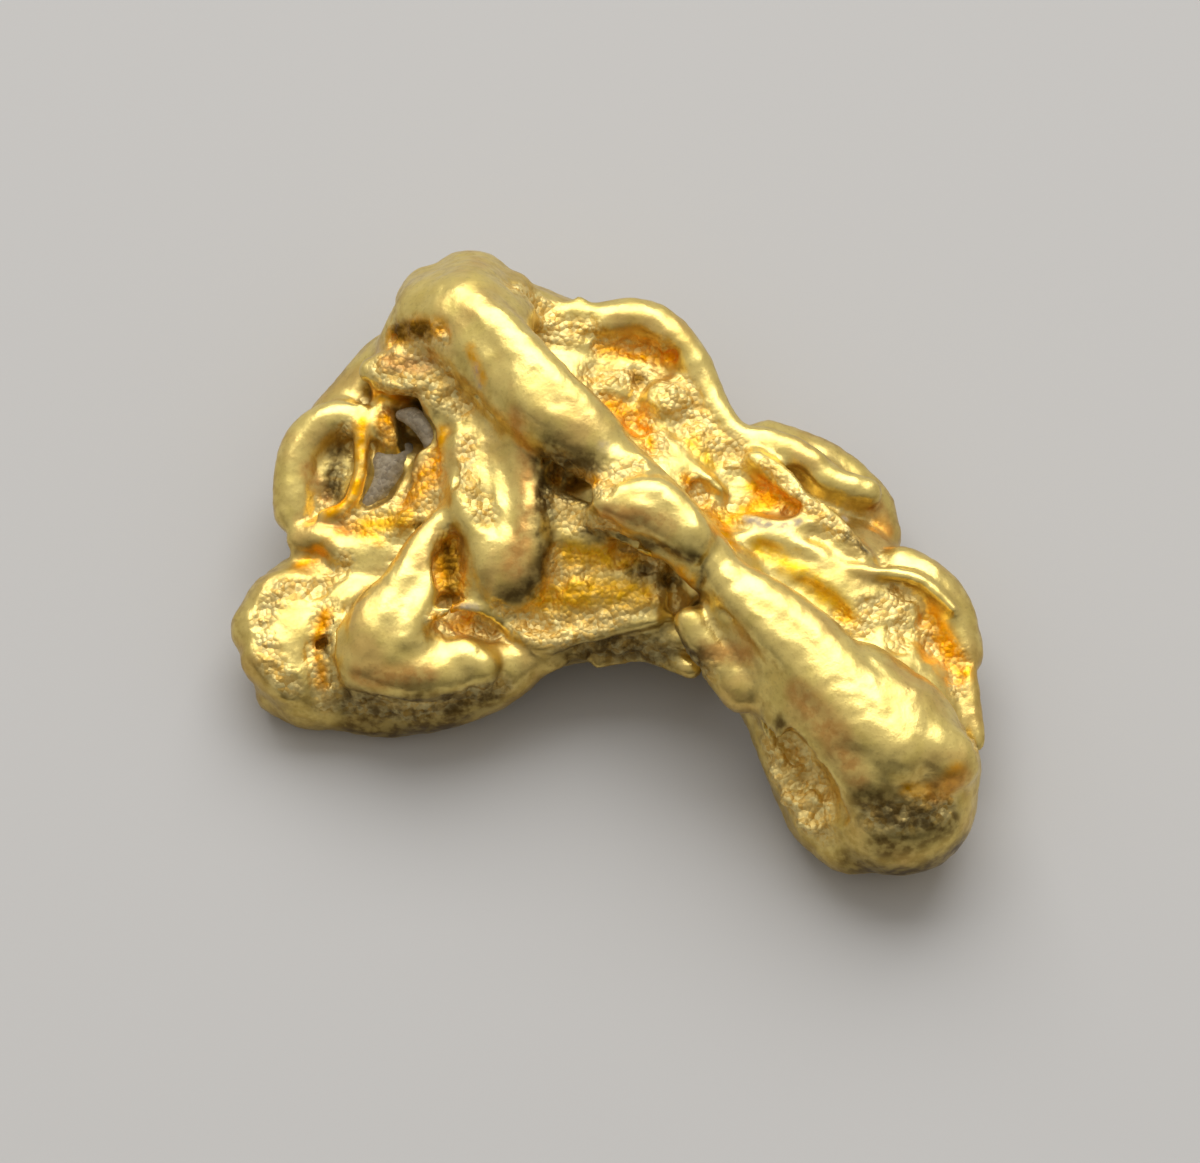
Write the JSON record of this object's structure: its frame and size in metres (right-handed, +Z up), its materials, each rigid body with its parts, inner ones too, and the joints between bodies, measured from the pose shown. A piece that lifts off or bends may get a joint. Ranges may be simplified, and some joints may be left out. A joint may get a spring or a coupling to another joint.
{
  "type": "gold nugget",
  "caption": "Natural water-worn gold nugget, V-shaped, with rounded ridges, a folded plateau and a crumb of grey host rock held in a pocket.",
  "frame": {"origin": "on the surface the nugget rests on, under the middle of its box", "axes": "+X along the nugget's longest way, from the toe towards the heavy right limb; +Y from the open side of the V towards the top knob; +Z up"},
  "size_m": [0.0118, 0.0104, 0.004],
  "materials": {
    "natural_gold": "satin",
    "host_rock": "matte"
  },
  "bodies": {
    "root": {"gold_nugget": "natural_gold", "host_rock_crumb": "host_rock"}
  },
  "joints": []
}
